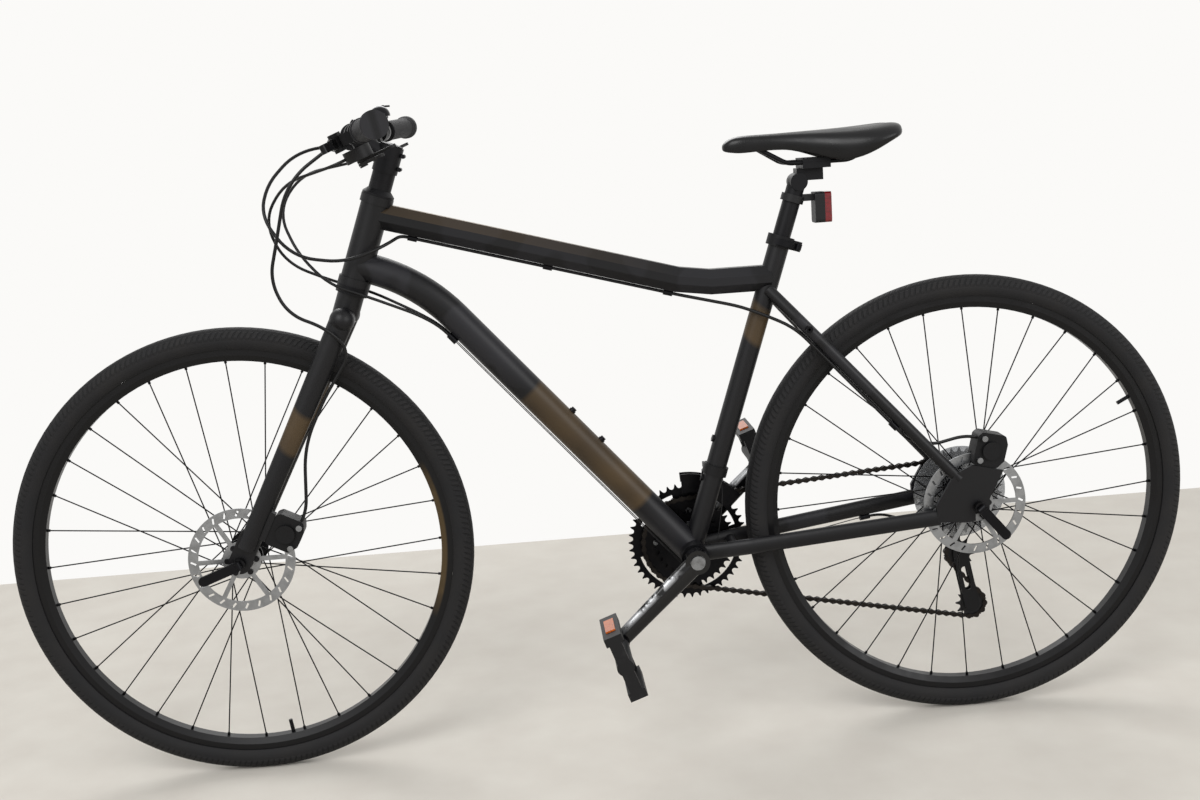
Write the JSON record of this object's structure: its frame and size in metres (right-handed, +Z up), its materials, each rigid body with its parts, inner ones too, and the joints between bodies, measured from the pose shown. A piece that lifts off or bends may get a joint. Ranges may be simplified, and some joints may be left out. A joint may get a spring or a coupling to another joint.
{
  "type": "hybrid bike",
  "caption": "Flat-bar hybrid bike with curved top tube, disc brakes, rigid fork, derailleur gears, flat pedals and padded saddle.",
  "frame": {"origin": "on the ground midway between the wheel axles, in the wheels' plane", "axes": "+X forward, +Y to the rider's left, +Z up"},
  "size_m": [1.8208, 0.6382, 1.0119],
  "materials": {
    "frame_paint": "satin black with grey smoke",
    "black_metal": "satin black",
    "steel": "plain steel",
    "chain_steel": "dark oiled steel",
    "cable": "matte black",
    "plastic": "matte black",
    "grip": "ribbed grey black",
    "rim_paint": "satin black",
    "spoke_black": "black",
    "tyre": "matte black",
    "rotor_steel": "ground steel",
    "protector": "smoky clear",
    "crank": "gloss black",
    "cassette_steel": "grey steel",
    "rail": "black",
    "saddle": "gloss black cover",
    "light": "red lens on black case"
  },
  "bodies": {
    "frame": {"main_frame": "frame_paint", "rear_stays": "frame_paint", "frame_fittings": "black_metal", "headset_cups": "black_metal", "bottom_bracket": "black_metal", "seat_clamp_collar": "black_metal", "rear_brake_caliper": "black_metal", "rear_axle": "steel", "chain": "chain_steel", "rear_brake_hose": "cable", "shift_cables": "cable", "derailleur_brackets": "black_metal"},
    "steering": {"fork": "frame_paint", "headset_spacers": "black_metal", "stem": "black_metal", "handlebar": "black_metal", "grips": "grip", "brake_lever_bodies": "black_metal", "shifter_pods": "plastic", "bell": "black_metal", "front_brake_caliper": "black_metal", "front_brake_hose": "cable", "front_axle": "steel"},
    "front_wheel": {"front_hub": "black_metal", "front_spokes": "spoke_black", "front_rim": "rim_paint", "front_tyre": "tyre", "front_rotor": "rotor_steel"},
    "rear_wheel": {"rear_hub": "black_metal", "rear_spokes": "spoke_black", "rear_rim": "rim_paint", "rear_tyre": "tyre", "rear_rotor": "rotor_steel", "spoke_protector": "protector"},
    "crankset": {"crank_arms": "crank", "chainrings": "crank"},
    "seat": {"seatpost": "black_metal", "saddle_rails": "rail", "saddle_cover": "saddle", "rear_light": "light"},
    "left_brake_lever": {"left_brake_lever": "black_metal"},
    "right_brake_lever": {"right_brake_lever": "black_metal"},
    "left_thumb_lever": {"left_thumb_lever": "plastic"},
    "right_thumb_lever": {"right_thumb_lever": "plastic"},
    "left_release_lever": {"left_release_lever": "plastic"},
    "right_release_lever": {"right_release_lever": "plastic"},
    "bell_striker": {"bell_striker": "black_metal"},
    "front_skewer_lever": {"front_skewer_lever": "black_metal"},
    "rear_skewer_lever": {"rear_skewer_lever": "black_metal"},
    "seat_clamp_lever": {"seat_clamp_lever": "black_metal"},
    "front_derailleur_link": {"front_derailleur_link": "black_metal"},
    "front_derailleur_cage": {"front_derailleur_cage": "black_metal"},
    "rear_derailleur_link": {"rear_derailleur_link": "black_metal"},
    "rear_derailleur_knuckle": {"rear_derailleur_knuckle": "black_metal"},
    "rear_derailleur_cage": {"rear_derailleur_cage": "black_metal"},
    "guide_pulley": {"guide_pulley": "plastic"},
    "tension_pulley": {"tension_pulley": "plastic"},
    "cassette": {"cassette": "cassette_steel"},
    "left_pedal": {"left_pedal": "plastic"},
    "right_pedal": {"right_pedal": "plastic"}
  },
  "joints": [
    {"name": "steering", "type": "hinge", "parent": "frame", "child": "steering", "pos_m": [0.36018, 0, 0.74688], "axis": [-0.3486, 0, 0.9373], "range_deg": [-70, 70], "deforming": ["rear_brake_hose", "shift_cables"]},
    {"name": "front_wheel_spin", "type": "hinge", "parent": "steering", "child": "front_wheel", "pos_m": [0.5615, 0, 0.349], "axis": [0, 1, 0], "continuous": true},
    {"name": "rear_wheel_spin", "type": "hinge", "parent": "frame", "child": "rear_wheel", "pos_m": [-0.5615, 0, 0.349], "axis": [0, 1, 0], "continuous": true},
    {"name": "crank_spin", "type": "hinge", "parent": "frame", "child": "crankset", "pos_m": [-0.12583, 0, 0.295], "axis": [0, 1, 0], "continuous": true, "deforming": ["chain"]},
    {"name": "cassette_spin", "type": "hinge", "parent": "frame", "child": "cassette", "pos_m": [-0.5615, 0, 0.349], "axis": [0, 1, 0], "continuous": true, "deforming": ["chain"]},
    {"name": "guide_pulley_spin", "type": "hinge", "parent": "rear_derailleur_cage", "child": "guide_pulley", "pos_m": [-0.5635, 0, 0.244], "axis": [0, 1, 0], "continuous": true, "deforming": ["chain"]},
    {"name": "tension_pulley_spin", "type": "hinge", "parent": "rear_derailleur_cage", "child": "tension_pulley", "pos_m": [-0.5815, 0, 0.157], "axis": [0, 1, 0], "continuous": true, "deforming": ["chain"]},
    {"name": "left_pedal_spin", "type": "hinge", "parent": "crankset", "child": "left_pedal", "pos_m": [0.00149, 0, 0.18235], "axis": [0, 1, 0], "continuous": true},
    {"name": "right_pedal_spin", "type": "hinge", "parent": "crankset", "child": "right_pedal", "pos_m": [-0.25316, 0, 0.40764], "axis": [0, 1, 0], "continuous": true},
    {"name": "left_brake_pull", "type": "hinge", "parent": "steering", "child": "left_brake_lever", "pos_m": [0.3462, 0.17534, 0.95634], "axis": [0.3743, 0.0424, 0.9264], "range_deg": [0, 15], "stiffness_Nm_per_rad": 0.4, "springref_deg": -5.73},
    {"name": "right_brake_pull", "type": "hinge", "parent": "steering", "child": "right_brake_lever", "pos_m": [0.3462, -0.17534, 0.95634], "axis": [-0.3743, 0.0424, -0.9264], "range_deg": [0, 15], "stiffness_Nm_per_rad": 0.4, "springref_deg": -5.73},
    {"name": "left_thumb_push", "type": "hinge", "parent": "steering", "child": "left_thumb_lever", "pos_m": [0.33308, 0.12292, 0.96404], "axis": [-0.3743, -0.0424, -0.9264], "range_deg": [0, 25], "stiffness_Nm_per_rad": 0.1, "springref_deg": -8.59},
    {"name": "right_thumb_push", "type": "hinge", "parent": "steering", "child": "right_thumb_lever", "pos_m": [0.33308, -0.12292, 0.96404], "axis": [0.3743, -0.0424, 0.9264], "range_deg": [0, 25], "stiffness_Nm_per_rad": 0.1, "springref_deg": -8.59},
    {"name": "left_release_push", "type": "hinge", "parent": "steering", "child": "left_release_lever", "pos_m": [0.33308, 0.12292, 0.96404], "axis": [-0.3743, -0.0424, -0.9264], "range_deg": [0, 12], "stiffness_Nm_per_rad": 0.1, "springref_deg": -8.59},
    {"name": "right_release_push", "type": "hinge", "parent": "steering", "child": "right_release_lever", "pos_m": [0.33308, -0.12292, 0.96404], "axis": [0.3743, -0.0424, 0.9264], "range_deg": [0, 12], "stiffness_Nm_per_rad": 0.1, "springref_deg": -8.59},
    {"name": "bell_strike", "type": "hinge", "parent": "steering", "child": "bell_striker", "pos_m": [0.30769, -0.19499, 0.99302], "axis": [0.9765, -0.2153, 0], "range_deg": [0, 20], "stiffness_Nm_per_rad": 0.05, "springref_deg": -5.73},
    {"name": "front_skewer_cam", "type": "hinge", "parent": "steering", "child": "front_skewer_lever", "pos_m": [0.5615, 0.0729, 0.349], "axis": [0.342, 0, 0.9397], "range_deg": [0, 150]},
    {"name": "rear_skewer_cam", "type": "hinge", "parent": "frame", "child": "rear_skewer_lever", "pos_m": [-0.5615, 0.0884, 0.349], "axis": [0.766, 0, -0.6428], "range_deg": [0, 150]},
    {"name": "seat_clamp_cam", "type": "hinge", "parent": "frame", "child": "seat_clamp_lever", "pos_m": [-0.31043, 0.0123, 0.75885], "axis": [-0.319, 0, 0.9478], "range_deg": [0, 140]},
    {"name": "seat_height", "type": "slide", "parent": "frame", "child": "seat", "axis": [-0.319, 0, 0.9478], "range_m": [-0.025, 0.12]},
    {"name": "front_derailleur_link_swing", "type": "hinge", "parent": "frame", "child": "front_derailleur_link", "pos_m": [-0.16857, -0.024, 0.426], "axis": [1, 0, 0], "range_deg": [-18, 25], "deforming": ["chain"]},
    {"name": "front_derailleur_cage_swing", "type": "hinge", "parent": "front_derailleur_link", "child": "front_derailleur_cage", "pos_m": [-0.16857, -0.036, 0.41], "axis": [1, 0, 0], "range_deg": [-25, 18], "deforming": ["chain"]},
    {"name": "rear_derailleur_link_swing", "type": "hinge", "parent": "frame", "child": "rear_derailleur_link", "pos_m": [-0.5745, -0.08, 0.298], "axis": [0.9799, 0, 0.1996], "range_deg": [-20, 8], "deforming": ["chain"]},
    {"name": "rear_derailleur_knuckle_swing", "type": "hinge", "parent": "rear_derailleur_link", "child": "rear_derailleur_knuckle", "pos_m": [-0.5635, -0.066, 0.244], "axis": [0.9799, 0, 0.1996], "range_deg": [-8, 20], "deforming": ["chain"]},
    {"name": "rear_derailleur_cage_swing", "type": "hinge", "parent": "rear_derailleur_knuckle", "child": "rear_derailleur_cage", "pos_m": [-0.5635, 0, 0.244], "axis": [0, 1, 0], "range_deg": [-15, 40], "stiffness_Nm_per_rad": 0.6, "deforming": ["chain"]}
  ],
  "couplings": [
    {"joint": "cassette_spin", "follows": "crank_spin", "ratio": 1.3846},
    {"joint": "tension_pulley_spin", "follows": "crank_spin", "ratio": 3.2727},
    {"joint": "guide_pulley_spin", "follows": "crank_spin", "ratio": -3.2727},
    {"joint": "front_derailleur_cage_swing", "follows": "front_derailleur_link_swing", "ratio": -1},
    {"joint": "rear_derailleur_knuckle_swing", "follows": "rear_derailleur_link_swing", "ratio": -1}
  ]
}
